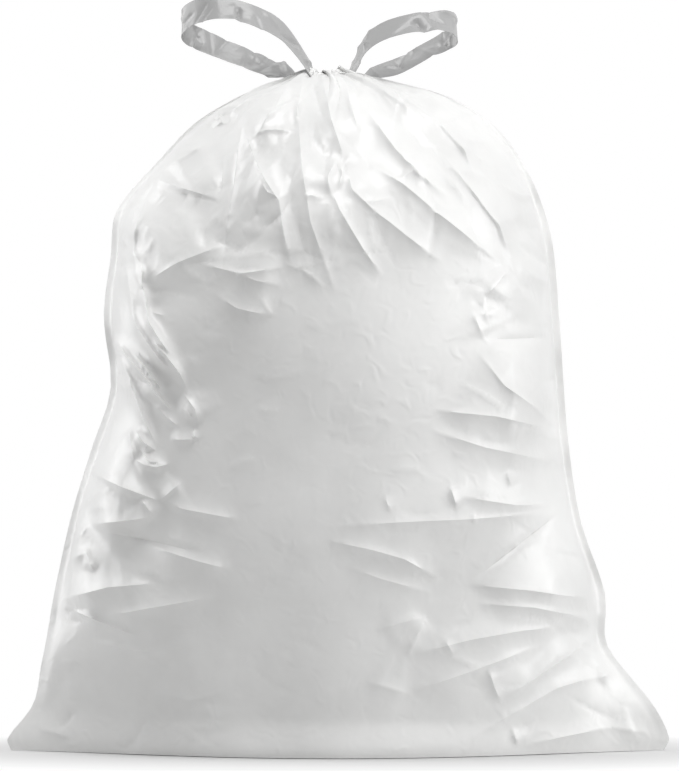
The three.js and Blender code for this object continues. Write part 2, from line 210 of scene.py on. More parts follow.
# Folds of the front panel as seen from the front: the crest's path in millimetres right of the
# middle and up from the floor, its height, and how wide it falls away to the left and to the right
# of the way along the path. A height below 0 is a groove.
FRONT_FOLDS = [
    # Neck and shoulders.
    ([(-82, 556), (-87, 523), (-93, 481), (-97, 445), (-103, 405)], -7, 17, 38),
    ([(-85, 551), (-72, 514), (-63, 495), (-51, 478), (-45, 425)], 9, 10, 30),
    ([(-69, 497), (-61, 485), (-50, 481)], 3, 5, 5),
    ([(-53, 483), (-47, 449), (-40, 420)], 5, 12, 10),
    ([(-164, 490), (-129, 484), (-101, 477)], -2.6, 10, 16),
    ([(-30, 584), (-35, 559), (-37, 542)], 3, 5, 7),
    ([(-23, 584), (-17, 563), (-10, 542)], -2, 5, 5),
    ([(-42, 580), (-54, 561), (-66, 545)], 3, 7, 5),
    ([(6, 582), (12, 558), (19, 535)], 3, 7, 5),
    ([(30, 579), (54, 563), (77, 547)], 3, 7, 7),
    ([(47, 580), (89, 566), (115, 547)], 3, 7, 5),
    ([(-115, 551), (-97, 559), (-77, 564)], 4, 4, 5),
    ([(-106, 556), (-101, 547), (-108, 542)], 3, 4, 4),
    ([(-36, 580), (-34, 542), (-31, 505), (-24, 460), (0, 392)], 11, 31, 21),
    ([(-14, 589), (-6, 549), (7, 512)], 7, 23, 14),
    ([(5, 521), (12, 488), (35, 467), (52, 454), (94, 422)], 10, 17, 15),
    ([(0, 519), (-9, 499), (-6, 480)], 5, 7, 12),
    ([(-1, 514), (4, 504), (0, 488)], 3, 4, 4),
    ([(-9, 495), (2, 469), (21, 438), (40, 411)], 7, 8, 17),
    ([(22, 561), (40, 536), (58, 512), (79, 496), (99, 479)], 8, 15, 13),
    ([(24, 514), (56, 493), (99, 458), (144, 422)], 10, 17, 16),
    ([(52, 571), (89, 544), (110, 521), (121, 493)], 7, 17, 14),
    ([(85, 523), (113, 493), (141, 457), (153, 425)], 7, 17, 12),
    ([(51, 496), (66, 504), (78, 495)], 3, 5, 6),
    ([(21, 477), (33, 478), (47, 480)], 2, 3, 4),
    ([(-30, 482), (-23, 483), (-14, 480)], 2, 3, 3),
    ([(-75, 539), (-57, 539), (-33, 539)], 6, 17, 14),
    ([(-171, 501), (-137, 490), (-99, 479)], 4, 21, 14),
    ([(-169, 406), (-140, 424), (-116, 434), (-96, 440)], 8, 33, 14),
    ([(-94, 418), (-72, 409), (-49, 405)], 5, 30, 10),
    ([(-108, 398), (-88, 385), (-57, 378)], 6, 21, 7),
    ([(-124, 425), (-85, 415), (-40, 422)], 8, 52, 10),
    ([(-68, 396), (-57, 377)], 2.5, 5, 10),
    ([(-50, 425), (-30, 418), (-9, 402)], 4, 10, 9),
    ([(-27, 579), (-66, 568), (-98, 555), (-119, 545)], 6, 12, 10),
    ([(-30, 573), (-61, 551), (-82, 521)], 6, 14, 17),
    ([(-154, 505), (-133, 516), (-108, 531)], 6, 12, 21),
    # Left side.
    ([(-167, 483), (-175, 453), (-177, 435), (-174, 413), (-166, 384)], 7, 52, 21),
    ([(-175, 410), (-166, 384), (-151, 353), (-137, 327), (-121, 294)], 5.6, 52, 21),
    ([(-167, 483), (-171, 465), (-176, 451), (-179, 436)], 4.2, 10, 5),
    ([(-175, 485), (-177, 468), (-179, 453)], 3.4, 4, 8),
    ([(-196, 460), (-189, 447), (-182, 437)], 4.2, 14, 6),
    ([(-180, 439), (-174, 430), (-170, 420), (-168, 408)], 3.4, 5, 8),
    ([(-169, 429), (-170, 405), (-166, 392), (-164, 377)], 5.9, 6, 10),
    ([(-184, 429), (-182, 408), (-179, 391), (-176, 377)], 2.9, 10, 6),
    ([(-168, 384), (-157, 380), (-148, 378)], 1.3, 3, 4),
    ([(-159, 445), (-164, 436), (-170, 432)], 2.1, 6, 4),
    ([(-199, 373), (-189, 343), (-179, 318), (-168, 288), (-156, 262)], 9.8, 7, 8),
    ([(-196, 364), (-183, 344), (-169, 327), (-154, 307), (-138, 291)], 8.4, 5, 5),
    ([(-180, 349), (-169, 337), (-160, 324), (-150, 311)], 5.6, 4, 4),
    ([(-182, 391), (-175, 371), (-166, 356), (-154, 340), (-138, 325)], 8.4, 6, 5),
    ([(-169, 396), (-164, 373), (-154, 357), (-141, 339)], 8.4, 5, 5),
    ([(-162, 359), (-149, 344), (-137, 328), (-131, 316)], 7, 4, 4),
    ([(-135, 312), (-124, 297), (-121, 283)], 8.4, 9, 6),
    ([(-162, 303), (-144, 287), (-136, 281)], 4.2, 7, 5),
    ([(-135, 300), (-126, 288)], 3.5, 4, 4),
    ([(-146, 271), (-123, 271)], 4.2, 7, 4),
    ([(-126, 281), (-123, 269)], 3.5, 3, 4),
    ([(-182, 283), (-179, 267), (-177, 251)], 7, 8, 5),
    ([(-177, 281), (-169, 269), (-158, 261)], 5.6, 5, 4),
    ([(-179, 255), (-168, 249), (-158, 247), (-145, 250)], 7, 8, 6),
    ([(-172, 263), (-164, 252), (-154, 251)], 4.2, 4, 3),
    ([(-220, 245), (-190, 231), (-151, 216)], 12.6, 23, 10),
    ([(-157, 216), (-135, 235)], 7, 9, 9),
    ([(-154, 218), (-136, 211), (-84, 201)], 7, 12, 9),
    ([(-171, 221), (-159, 202)], 5.6, 7, 12),
    ([(-158, 204), (-190, 200), (-219, 197)], 14, 12, 23),
    ([(-214, 199), (-243, 169)], 7, 10, 9),
    ([(-221, 180), (-216, 168), (-211, 155)], 5.6, 6, 7),
    ([(-244, 164), (-229, 168), (-218, 175)], 5.6, 6, 6),
    ([(-245, 131), (-200, 143), (-156, 146)], 14, 19, 21),
    ([(-242, 127), (-207, 113), (-171, 99)], 4.2, 4, 5),
    ([(-207, 117), (-162, 125), (-103, 135)], 9.8, 17, 16),
    ([(-165, 179), (-124, 166), (-90, 157)], 8.4, 12, 16),
    ([(-216, 193), (-164, 183), (-114, 171)], -4.2, 9, 9),
    ([(-244, 130), (-247, 96), (-251, 79), (-253, 51)], 5, 8, 7),
    ([(-264, 37), (-262, 18)], 2, 6, 6),
    ([(-264, 21), (-232, 12)], 2.5, 9, 5),
    ([(-164, 53), (-129, 44), (-94, 53)], 3, 16, 16),
    ([(-116, 44), (-109, 29), (-115, 12)], 2.5, 12, 12),
    ([(-218, 97), (-181, 88), (-136, 83)], 4.2, 10, 10),
    # Right side.
    ([(151, 421), (127, 394)], 4.2, 26, 7),
    ([(126, 396), (130, 372)], 3.1, 7, 7),
    ([(116, 385), (127, 358)], 4.2, 17, 10),
    ([(119, 351), (144, 318), (172, 298), (192, 278)], 9.4, 39, 26),
    ([(186, 286), (192, 243)], 4.2, 7, 14),
    ([(128, 358), (158, 359), (185, 360)], -3.2, 7, 7),
    ([(79, 297), (137, 291), (189, 279)], 6.8, 16, 12),
    ([(78, 280), (128, 264), (190, 251)], 5.1, 12, 16),
    ([(97, 232), (104, 210)], 4.2, 12, 4),
    ([(147, 243), (150, 230)], 2, 5, 3),
    ([(40, 223), (46, 207)], 2, 5, 3),
    ([(103, 222), (154, 214), (188, 214)], 4.2, 17, 7),
    ([(-12, 195), (54, 199), (118, 202), (191, 208)], 6.8, 30, 19),
    ([(117, 207), (119, 197)], 1.6, 3, 3),
    ([(-12, 184), (30, 175), (58, 167), (91, 148)], 7.7, 14, 11),
    ([(4, 162), (37, 150), (84, 137)], 4.2, 9, 12),
    ([(113, 145), (150, 174), (195, 209)], -3.9, 5, 5),
    ([(111, 145), (167, 140), (223, 132)], 10.1, 40, 10),
    ([(117, 129), (171, 125), (224, 115)], 5.9, 9, 12),
    ([(57, 82), (115, 97), (160, 105), (205, 109)], 5.9, 16, 10),
    ([(93, 98), (100, 84)], 2.6, 4, 3),
    ([(77, 119), (68, 99), (59, 80)], 4.2, 12, 12),
    ([(33, 104), (56, 112), (79, 118)], 4.2, 9, 12),
    ([(23, 61), (65, 49)], 4.2, 16, 12),
    ([(57, 49), (97, 63), (133, 76), (182, 95)], 7.7, 19, 23),
    ([(130, 73), (142, 41)], 5.1, 16, 5),
    ([(137, 41), (180, 69), (224, 101)], 6.8, 16, 14),
    ([(111, 9), (151, 32), (190, 55), (240, 70)], 5.1, 10, 16),
    ([(152, 21), (157, 4)], 3.1, 9, 3),
    ([(157, 4), (202, 14), (245, 22)], 3.1, 19, 5),
    ([(223, 61), (238, 69), (252, 75)], 4.2, 9, 9),
    ([(245, 42), (268, 47)], 2.6, 7, 7),
    ([(235, 21), (263, 17), (287, 4)], 2.6, 9, 5),
    ([(200, 210), (211, 177), (223, 140), (226, 104)], 4.2, 10, 17),
]
FOLD_SHARE = 0.75  # of these heights, for all folds alike
FOLD_RUN_OUT = 0.35  # share of a fold's length over which each end dies away
NARROW_END = 0.3  # share of a fold's width that is left at its ends
CREST_ROUND = 0.1  # radius of a crest as a share of its width
LIP_SHARE = 0.18  # of a fold's height stands up as a thin lip along its crest,
LIP_TALLEST = 0.9  # up to this height in millimetres,
LIP_WIDTH = 1.5  # and falls away over this width
FOLD_REACH = 3  # widths from the crest within which a fold lifts the film
main_folds = [(path, tall * FOLD_SHARE, left, right) for path, tall, left, right in FRONT_FOLDS]


def seen_from_front(points):
    """Where points show from the front, in millimetres across and up on the plane of the seams."""
    away = points - np.array(camera.location)
    scale = CAMERA_DISTANCE / (away @ np.array(sight))
    across = away[..., 0] * scale + camera.location.x
    up = (away @ np.array(picture_up)) * scale + picture_middle @ picture_up
    return np.stack([across, up], axis=-1) / MM


def fold_height(places, path, tall, left, right):
    """How far one fold lifts the film at places on its panel: a crest with a thin lip along it, and
    flanks that run out on both sides and at both ends."""
    path = np.array(path, float)
    steps = np.diff(path, axis=0)
    lengths = np.linalg.norm(steps, axis=1)
    headings = steps / lengths[:, None]
    turns = np.concatenate([headings[:1], headings[:-1] + headings[1:], headings[-1:]])
    nearest = np.full(len(places), np.inf)
    width = np.ones(len(places))
    for number, (corner, step, length) in enumerate(zip(path, steps, lengths)):
        offset = places - corner
        share = np.clip((offset @ step) / length**2, 0, 1)
        aside = offset - share[:, None] * step
        distance = np.linalg.norm(aside, axis=-1)
        heading = np.where((share == 0)[:, None], turns[number], headings[number])
        heading = np.where((share == 1)[:, None], turns[number + 1], heading)
        on_left = heading[:, 0] * aside[:, 1] > heading[:, 1] * aside[:, 0]
        closer = distance < nearest
        nearest = np.where(closer, distance, nearest)
        width = np.where(closer, np.where(on_left, left, right), width)
    span = path[-1] - path[0]
    along = (places - path[0]) @ span / (span @ span)
    ends = smooth_step(0, FOLD_RUN_OUT, np.minimum(along, 1 - along))
    width *= NARROW_END + (1 - NARROW_END) * ends
    rounded = np.hypot(nearest, CREST_ROUND * width) - CREST_ROUND * width
    flank = np.clip(np.exp(-rounded / width) - math.exp(-FOLD_REACH), 0, None)
    lip_share = min(LIP_SHARE, LIP_TALLEST / abs(tall))
    lip = lip_share * np.exp(-((nearest / LIP_WIDTH) ** 2))
    return tall * ends * (flank + lip)


def add_fold(lift, places, path, tall, left, right):
    """Adds one fold to the lift of the film, near its path."""
    reach = FOLD_REACH * max(left, right)
    low, high = np.min(path, axis=0) - reach, np.max(path, axis=0) + reach
    near = np.all((places > low) & (places < high), axis=-1)
    lift[near] += fold_height(places[near], path, tall, left, right)


# Small creases, drawn at random: level beside the seams, towards the neck on the shoulders and
# towards the ears in the bottom corners, and weaker in the calm middle. All in millimetres across
# and up, as the folds are.
SMALL_FOLDS = 380  # on each panel
SMALL_LENGTH, SMALL_HEIGHT, SMALL_WIDTH = (20, 80), (0.5, 2), (3, 9)
SMALL_SWAY = math.radians(24)  # how far a crease turns from its way
SMALL_BOW = 0.3  # share of half its length by which it bends aside
PANEL_AREA = (-285, 5), (285, 585)  # lower left and upper right corner
SHOULDER_AREA = (-190, 400), (190, 590)
SHOULDER_SHARE = 0.4  # of the creases are put on the shoulders
SIDE_RAMP, SHOULDER_RAMP = (70, 180), (380, 500)  # from calm to slack film, outward and up
CORNER_RAMPS = (150, 210), (130, 70)  # into the bottom corners, outward and down
CALM_STRENGTH = 0.35
NECK_SPOT, EAR_SPOT = (0, 620), (300, -10)
random = np.random.default_rng(SEED)


def small_fold():
    """One small crease: its path, height and widths."""
    across, up = random.uniform(*PANEL_AREA)
    if random.random() < SHOULDER_SHARE:
        across, up = random.uniform(*SHOULDER_AREA)
    on_side = ramp(*SIDE_RAMP, abs(across))
    on_shoulder = ramp(*SHOULDER_RAMP, up)
    in_corner = ramp(*CORNER_RAMPS[0], abs(across)) * ramp(*CORNER_RAMPS[1], up)
    heading = random.normal(0, SMALL_SWAY)
    if on_shoulder > 0.5:
        heading += math.atan2(NECK_SPOT[1] - up, NECK_SPOT[0] - across)
    elif in_corner > 0.5:
        heading += math.atan2(EAR_SPOT[1] - up, math.copysign(EAR_SPOT[0], across) - across)
    half = random.uniform(*SMALL_LENGTH) / 2
    reach = np.array([math.cos(heading), math.sin(heading)]) * half
    middle = np.array([across, up])
    bow = np.array([-reach[1], reach[0]]) * random.uniform(-SMALL_BOW, SMALL_BOW)
    path = [middle - reach, middle + bow, middle + reach]
    strength = CALM_STRENGTH + (1 - CALM_STRENGTH) * max(on_side, on_shoulder)
    tall = random.uniform(*SMALL_HEIGHT) * random.choice((-1, 1)) * strength
    return path, tall, random.uniform(*SMALL_WIDTH), random.uniform(*SMALL_WIDTH)


# Pleats where the tapes gather the mouth: rounded outside, creased inside, of uneven lengths. The
# hem above them rises and falls.
PLEATS = 26
PLEAT_DEPTH = 4
PLEAT_LENGTH = (40, 160)
PLEAT_FADE = 1.3  # power by which a pleat dies away downward
PLEAT_LEVEL = 0.64  # share of a pleat's depth at which the plain film would lie
PLEAT_WANDER = [(3, 0.5, 0.1), (7, 0.35, 0.4)]  # waves round the mouth, height in pleats, start in turns
HEM_WAVES = [(3, 1.5, 0.2), (7, 1.5, 0.7), (16, 1.2, 0.5)]  # waves round the mouth, mm, start in turns
HEM_DROP = 3
HEM_BAND = 25  # millimetres of film under the edge that rise and fall with it
turn = column_numbers / COLUMNS


def waves_round(waves):
    """The height of waves round the mouth at each column."""
    return sum(tall * np.sin(2 * np.pi * (count * turn + start)) for count, tall, start in waves)


pleat_place = PLEATS * turn + waves_round(PLEAT_WANDER)
pleat_number = np.floor(pleat_place).astype(int) % PLEATS
pleat_length = random.uniform(*PLEAT_LENGTH, PLEATS)[pleat_number]
row_steps = np.linalg.norm(np.diff(form, axis=0), axis=-1) / MM
below_hem = np.concatenate([np.cumsum(row_steps[::-1], axis=0)[::-1], np.zeros((1, COLUMNS))])
pleat_fade = np.clip(1 - below_hem / pleat_length, 0, 1) ** PLEAT_FADE
pleats = PLEAT_DEPTH * (np.abs(np.sin(np.pi * pleat_place)) - PLEAT_LEVEL) * pleat_fade
form[..., 2] += (waves_round(HEM_WAVES) - HEM_DROP) * (1 - smooth_step(0, HEM_BAND, below_hem)) * MM

# Folds and pleats are held down beside the welded strips and on the floor.
HOLD_COLUMNS = 14  # from a strip to where they have their full height
HOLD_HEIGHT = 12 * MM
beside_seam = smooth_step(SEAM_COLUMNS, SEAM_COLUMNS + HOLD_COLUMNS, seam_distance)
hold = beside_seam * smooth_step(0, HOLD_HEIGHT, form[..., 2])


def linear(hex_colour):
    """An sRGB hex colour as linear red, green, blue and alpha."""
    shares = [int(hex_colour[start : start + 2], 16) / 255 for start in (1, 3, 5)]
    light = [share / 12.92 if share <= 0.04045 else ((share + 0.055) / 1.055) ** 2.4 for share in shares]
    return light + [1]


def add_node(node_tree, kind, inputs=None, **settings):
    """A shader node with its settings, and with its inputs set or linked."""
    new = node_tree.nodes.new(kind)
    for name, value in settings.items():
        setattr(new, name, value)
    for socket, value in (inputs or {}).items():
        if isinstance(value, bpy.types.NodeSocket):
            node_tree.links.new(value, new.inputs[socket])
        else:
            new.inputs[socket].default_value = value
    return new


def new_material(name):
    """An empty node material and its node tree."""
    material = bpy.data.materials.new(name)
    material.use_nodes = True
    material.node_tree.nodes.clear()
    return material, material.node_tree


# Blown low-density polyethylene, pigmented white: a thin, slippery, slightly cloudy film. It shows
# a soft body colour under a clear skin gloss, with fine crinkles from handling.
CLOUD_COLOURS = [(0.3, "#E4E4E3"), (0.7, "#F4F4F3")]  # share of the clouds' range, and colour
CLOUD_SIZE = 110 * MM
CRINKLE_SIZE = 14 * MM
CRINKLE_DEPTH = 1 * MM
FILM_ROUGHNESS = 0.3
POLYETHYLENE_IOR = 1.51
film_material, film_nodes = new_material("white_polyethylene_film")
film_place = add_node(film_nodes, "ShaderNodeTexCoord").outputs["Object"]
cloud_noise = add_node(
    film_nodes,
    "ShaderNodeTexNoise",
    {"Vector": film_place, "Scale": 1 / CLOUD_SIZE, "Detail": 4, "Roughness": 0.55},
)
clouds = add_node(film_nodes, "ShaderNodeValToRGB", {"Fac": cloud_noise.outputs["Fac"]})
for stop, (share, colour) in zip(clouds.color_ramp.elements, CLOUD_COLOURS):
    stop.position = share
    stop.color = linear(colour)
film_crinkle = add_node(
    film_nodes,
    "ShaderNodeTexNoise",
    {"Vector": film_place, "Scale": 1 / CRINKLE_SIZE, "Detail": 5, "Roughness": 0.55, "Distortion": 0.6},
    noise_type="RIDGED_MULTIFRACTAL",
)
film_bump = add_node(
    film_nodes,
    "ShaderNodeBump",
    {"Height": film_crinkle.outputs["Fac"], "Strength": 0.6, "Distance": CRINKLE_DEPTH},
)
film_shader = add_node(
    film_nodes,
    "ShaderNodeBsdfPrincipled",
    {
        "Base Color": clouds.outputs["Color"],
        "Roughness": FILM_ROUGHNESS,
        "IOR": POLYETHYLENE_IOR,
        "Normal": film_bump.outputs["Normal"],
    },
)
add_node(film_nodes, "ShaderNodeOutputMaterial", {"Surface": film_shader.outputs["BSDF"]})

# Each panel's mesh has an edge along every crest, points at the feet of the main folds' lips, and a
# lattice over the open film. Its spots are given in columns and rows of the panel's grid, and so are
# the distances between them.
CREST_STEP = 1  # millimetres between the points tried along a crest
CREST_FEWEST = 3  # points tried on the shortest crest, and needed for a lip
CREST_MISS = 3  # millimetres from the grid's nearest point beyond which a crest is off the panel
CREST_ROUNDS = 3  # of closing in on a point's spot,
CREST_STRIDE = 2  # by so many columns or rows at most
CREST_GAP = 1.2  # between the points kept
CREST_LOW = np.array([SEAM_COLUMNS + 1, BASE_ROWS + 3])  # crests lie between these two spots
CREST_HIGH = np.array([HALF - SEAM_COLUMNS - 1, ROWS - 4])
LIP_SIDE = 0.8  # from a crest to the foot of its lip
LIP_CLEAR = LIP_SIDE * 0.8  # from a lip's foot to the nearest crest, at least
LATTICE_STEP = 1.2
LATTICE_STRAY = 0.3  # share of a step by which the lattice is uneven
LATTICE_CLEAR = 0.9  # from the lattice to the nearest crest or lip, at least
BASE_STEPS = 5  # rows of the lattice under the base
MERGED = 0.2  # distance at which two spots become one
TRIANGLES = 0  # the kind of net: triangles over the whole panel
SAME_ROW = 1e-6
SHARP_CREASE = math.radians(40)  # film bent more than this shows a hard line
FLATTEST_VIEW = 0.45  # film turned away looks narrow, so its folds are taller, up to one over this share
BACK_WANDER, BACK_WAVE = 21 * MM, 600 * MM  # how the back panel's folds stray from the front's

# The hem turns in over the mouth and down into a puckered funnel.
MOUTH_ROWS = [(0.93, 1.2), (0.8, 1), (0.6, -4), (0.35, -12)]  # share of the hem's width, height in mm
MOUTH_DEPTH = 20 * MM
mouth_middle = form[-1].mean(axis=0)


def between(grid, spots):
    """Values of a grid at spots (column, row) between its points."""
    left = np.minimum(spots[:, 0].astype(int), grid.shape[1] - 2)
    low = np.minimum(spots[:, 1].astype(int), grid.shape[0] - 2)
    shape = (-1,) + (1,) * (grid.ndim - 2)
    across, up = (spots[:, 0] - left).reshape(shape), (spots[:, 1] - low).reshape(shape)
    lower = grid[low, left] * (1 - across) + grid[low, left + 1] * across
    upper = grid[low + 1, left] * (1 - across) + grid[low + 1, left + 1] * across
    return lower * (1 - up) + upper * up


def tree_of(spots):
    """A search tree of spots on a plane."""
    tree = KDTree(len(spots))
    for number, spot in enumerate(spots):
        tree.insert((*spot, 0), number)
    tree.balance()
    return tree


def crossed(first, second):
    """The area that each two directions on a plane span."""
    return first[:, 0] * second[:, 1] - first[:, 1] * second[:, 0]


def thinned(spots):
    """Spots along a crest without those that crowd the one before."""
    kept = [spots[0]]
    for spot in spots[1:]:
        if np.linalg.norm(spot - kept[-1]) > CREST_GAP:
            kept.append(spot)
    return kept


def crest_spots(path, places, grid_tree):
    """Spots on a panel's grid along a fold's crest, as runs that lie on the panel."""
    path = np.array(path, float)
    points = spread_evenly(path, max(CREST_FEWEST, int(travelled(path)[-1] / CREST_STEP)))
    found = [grid_tree.find((*point, 0))[1:] for point in points]
    rows, columns = np.divmod([number for number, _ in found], HALF + 1)
    near = np.array([distance for _, distance in found]) < CREST_MISS
    spots = np.stack([columns, rows], axis=1).astype(float)
    for _ in range(CREST_ROUNDS):
        spots = np.clip(spots, [1, BASE_ROWS + 1], [HALF - 1, ROWS - 2])
        miss = points - between(places, spots)
        by_column = between(places, spots + [0.5, 0]) - between(places, spots - [0.5, 0])
        by_row = between(places, spots + [0, 0.5]) - between(places, spots - [0, 0.5])
        strides = np.stack([crossed(miss, by_row), crossed(by_column, miss)], axis=1)
        spots += np.clip(strides / crossed(by_column, by_row)[:, None], -CREST_STRIDE, CREST_STRIDE)
    inside = np.all((spots > CREST_LOW) & (spots < CREST_HIGH), axis=1) & near
    runs = np.split(np.arange(len(spots)), np.flatnonzero(~inside))
    runs = [run[inside[run]] for run in runs]
    return [thinned(spots[run]) for run in runs if len(run) > 1]


def lip_spots(run):
    """Spots on both sides of a crest, at the foot of its lip."""
    run = np.array(run)
    if len(run) < CREST_FEWEST:
        return []
    heading = np.gradient(run, axis=0)
    heading /= np.linalg.norm(heading, axis=1)[:, None]
    aside = LIP_SIDE * heading[:, ::-1] * [-1, 1]
    return [*(run + aside), *(run - aside)]


def panel_net(places, small_folds):
    """The spots and faces of one panel's mesh."""
    grid_tree = tree_of(places.reshape(-1, 2))
    spots, edges, lips = [], [], []
    for number, fold in enumerate(main_folds + small_folds):
        for run in crest_spots(fold[0], places, grid_tree):
            first = len(spots)
            spots.extend(run)
            edges.extend((first + step, first + step + 1) for step in range(len(run) - 1))
            if number < len(main_folds):
                lips.extend(lip_spots(run))
    crest_tree = tree_of(spots)
    spots.extend(spot for spot in lips if crest_tree.find((*spot, 0))[2] > LIP_CLEAR)
    crest_tree = tree_of(spots)
    across = np.linspace(0, HALF, int(HALF / LATTICE_STEP) + 1)
    base = np.linspace(0, BASE_ROWS, BASE_STEPS, endpoint=False)
    wall = np.linspace(BASE_ROWS, ROWS - 1, int(WALL_ROWS / LATTICE_STEP) + 1)
    stray = np.random.default_rng(SEED)
    for row in np.concatenate([base, wall]):
        for column in across:
            inner = 0 < column < HALF and BASE_ROWS < row < ROWS - 1
            spot = np.array([column, row])
            if inner:
                spot += stray.uniform(-LATTICE_STRAY, LATTICE_STRAY, 2) * LATTICE_STEP
            if not inner or crest_tree.find((*spot, 0))[2] > LATTICE_CLEAR:
                spots.append(spot)
    net = delaunay_2d_cdt([Vector(spot) for spot in spots], edges, [], TRIANGLES, MERGED)
    spots = np.array([tuple(corner) for corner in net[0]])
    return np.clip(spots, 0, [HALF, ROWS - 1]), [list(face) for face in net[2]]


def add_mouth(points, faces, spots):
    """Adds the turned-in hem and the funnel of the mouth to a panel's points and faces."""
    rim = np.flatnonzero(spots[:, 1] > ROWS - 1 - SAME_ROW)
    rim = rim[np.argsort(spots[rim, 0])].tolist()
    hem = np.array([points[number] for number in rim])
    for share, rise in MOUTH_ROWS:
        ring = list(range(len(points), len(points) + len(rim)))
        turned_in = mouth_middle + (hem - mouth_middle) * [share, share, 1] + [0, 0, rise * MM]
        points.extend(turned_in.tolist())
        faces.extend(list(face) for face in zip(rim, rim[1:], ring[1:], ring))
        rim = ring
    points.append((mouth_middle - [0, 0, MOUTH_DEPTH]).tolist())
    faces.extend([first, second, len(points) - 1] for first, second in zip(rim, rim[1:]))


def warped_back(points):
    """Points of the back panel turned to the front, and shifted so its folds are not the front's."""
    turned = points * np.array([1, -1, 1])
    turned[..., 0] += BACK_WANDER * np.sin(2 * np.pi * points[..., 2] / BACK_WAVE)
    turned[..., 2] += BACK_WANDER * np.sin(2 * np.pi * points[..., 0] / BACK_WAVE + 1)
    return turned


def add_film(name, points, faces, material):
    """A smooth piece of film with hard lines at its creases."""
    mesh = bpy.data.meshes.new(name)
    mesh.from_pydata(points, [], faces)
    mesh.validate()
    mesh.shade_smooth()
    mesh.set_sharp_from_angle(angle=SHARP_CREASE)
    mesh.materials.append(material)
    film = bpy.data.objects.new(name, mesh)
    bpy.context.scene.collection.objects.link(film)
    return film


def add_panel(name, columns, outward, small_folds):
    """One panel of the bag; outward is -1 for the front, 1 for the back."""
    plain = form[:, columns]
    places = seen_from_front(plain if outward < 0 else warped_back(plain))
    spots, faces = panel_net(places, small_folds)
    spot_places = between(places, spots)
    out = between(facing(form)[:, columns], spots)
    push, lift = np.zeros((2, len(spots)))
    for fold in main_folds:
        add_fold(push, spot_places, *fold)
    push /= np.clip(out[:, 1] ** 2, FLATTEST_VIEW, 1)
    for fold in small_folds:
        add_fold(lift, spot_places, *fold)
    lift += between(pleats[:, columns], spots)
    move = out * lift[:, None] + np.array([0, outward, 0]) * push[:, None]
    points = between(plain, spots) + move * (between(hold[:, columns], spots) * MM)[:, None]
    points = points.tolist()
    add_mouth(points, faces, spots)
    panel = add_film(name, points, faces, film_material)
    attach(panel, "root")
    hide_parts("film_bag")


all_columns = np.arange(COLUMNS + 1) % COLUMNS
add_panel("front_film", all_columns[: HALF + 1], -1, [small_fold() for _ in range(SMALL_FOLDS)])
add_panel("back_film", all_columns[HALF:], 1, [small_fold() for _ in range(SMALL_FOLDS)])


# Draw tapes: two flat strips of grey polyethylene that run inside the hem. Each comes out of a notch
# as a hand loop, bent over on itself, with both ends tucked into the gathered mouth. A loop's route is
# given in shares of its reach out, its opening to the back and its rise above the neck.
TAPE_WIDTH = 24 * MM
TAPE_THICKNESS = 0.3 * MM
TAPE_TUCK = 18 * MM
NEAR_END, FAR_END = (-0.075, -0.16), (0.05, 0.16)  # shares out and back of the two tucked ends
LEFT_LOOP = {
    "notch": -27 * MM,
    "reach": -109 * MM,
    "opening": 33 * MM,
    "rise": 50 * MM,
    "route": [
        (-0.03, -0.21, -0.06), (0.07, -0.45, 0.3), (0.2, -0.73, 0.62), (0.38, -0.94, 0.84),
        (0.59, -1, 0.98), (0.77, -0.88, 1), (0.92, -0.48, 0.94), (1, -0.03, 0.8), (0.93, 0.33, 0.62),
        (0.74, 0.48, 0.44), (0.54, 0.48, 0.26), (0.34, 0.36, 0.08), (0.15, 0.21, -0.08),
    ],
    "lean": [70, 62, 50, 42, 39, 38, 33, 22, 14, 22, 34, 40, 46, 60, 70],  # degrees back, end to end
}
RIGHT_LOOP = {
    "notch": 11 * MM,
    "reach": 93 * MM,
    "opening": 28 * MM,
    "rise": 40 * MM,
    "route": [
        (0.03, -0.25, 0), (0.14, -0.54, 0.5), (0.31, -0.82, 0.78), (0.58, -1, 0.95), (0.81, -0.86, 1),
        (0.96, -0.43, 0.95), (1, 0.04, 0.8), (0.89, 0.43, 0.63), (0.67, 0.61, 0.38), (0.44, 0.57, 0.1),
        (0.22, 0.36, -0.1),
    ],
    "lean": [70, 60, 48, 44, 44, 42, 36, 34, 40, 46, 50, 60, 70],
}
TAPE_STEPS = 24  # along, between two points of the route
TAPE_LINES = 18  # across
TAPE_CREASES = 30
CREASE_FREE = 20  # millimetres at each end without creases
CREASE_ASIDE = 10  # millimetres from the tape's middle line to a crease's middle, at most
CREASE_SLANT = 1.2  # radians from square across, at most
CREASE_REACH, CREASE_HEIGHT, CREASE_WIDTH = (8, 22), (0.8, 2), (2, 7)

# Grey polyethylene tape: a thicker film, pigmented grey, glossy and creased from being pulled tight.
TAPE_GREY = "#A9A9A9"
TAPE_CRINKLE_SIZE = 9 * MM
TAPE_ROUGHNESS = 0.25
tape_material, tape_nodes = new_material("grey_polyethylene_tape")
tape_place = add_node(tape_nodes, "ShaderNodeTexCoord").outputs["Object"]
tape_crinkle = add_node(
    tape_nodes,
    "ShaderNodeTexNoise",
    {"Vector": tape_place, "Scale": 1 / TAPE_CRINKLE_SIZE, "Detail": 3, "Roughness": 0.6, "Distortion": 0.8},
    noise_type="RIDGED_MULTIFRACTAL",
)
tape_bump = add_node(
    tape_nodes,
    "ShaderNodeBump",
    {"Height": tape_crinkle.outputs["Fac"], "Strength": 0.25, "Distance": CRINKLE_DEPTH},
)
tape_shader = add_node(
    tape_nodes,
    "ShaderNodeBsdfPrincipled",
    {
        "Base Color": linear(TAPE_GREY),
        "Roughness": TAPE_ROUGHNESS,
        "IOR": POLYETHYLENE_IOR,
        "Normal": tape_bump.outputs["Normal"],
    },
)
add_node(tape_nodes, "ShaderNodeOutputMaterial", {"Surface": tape_shader.outputs["BSDF"]})


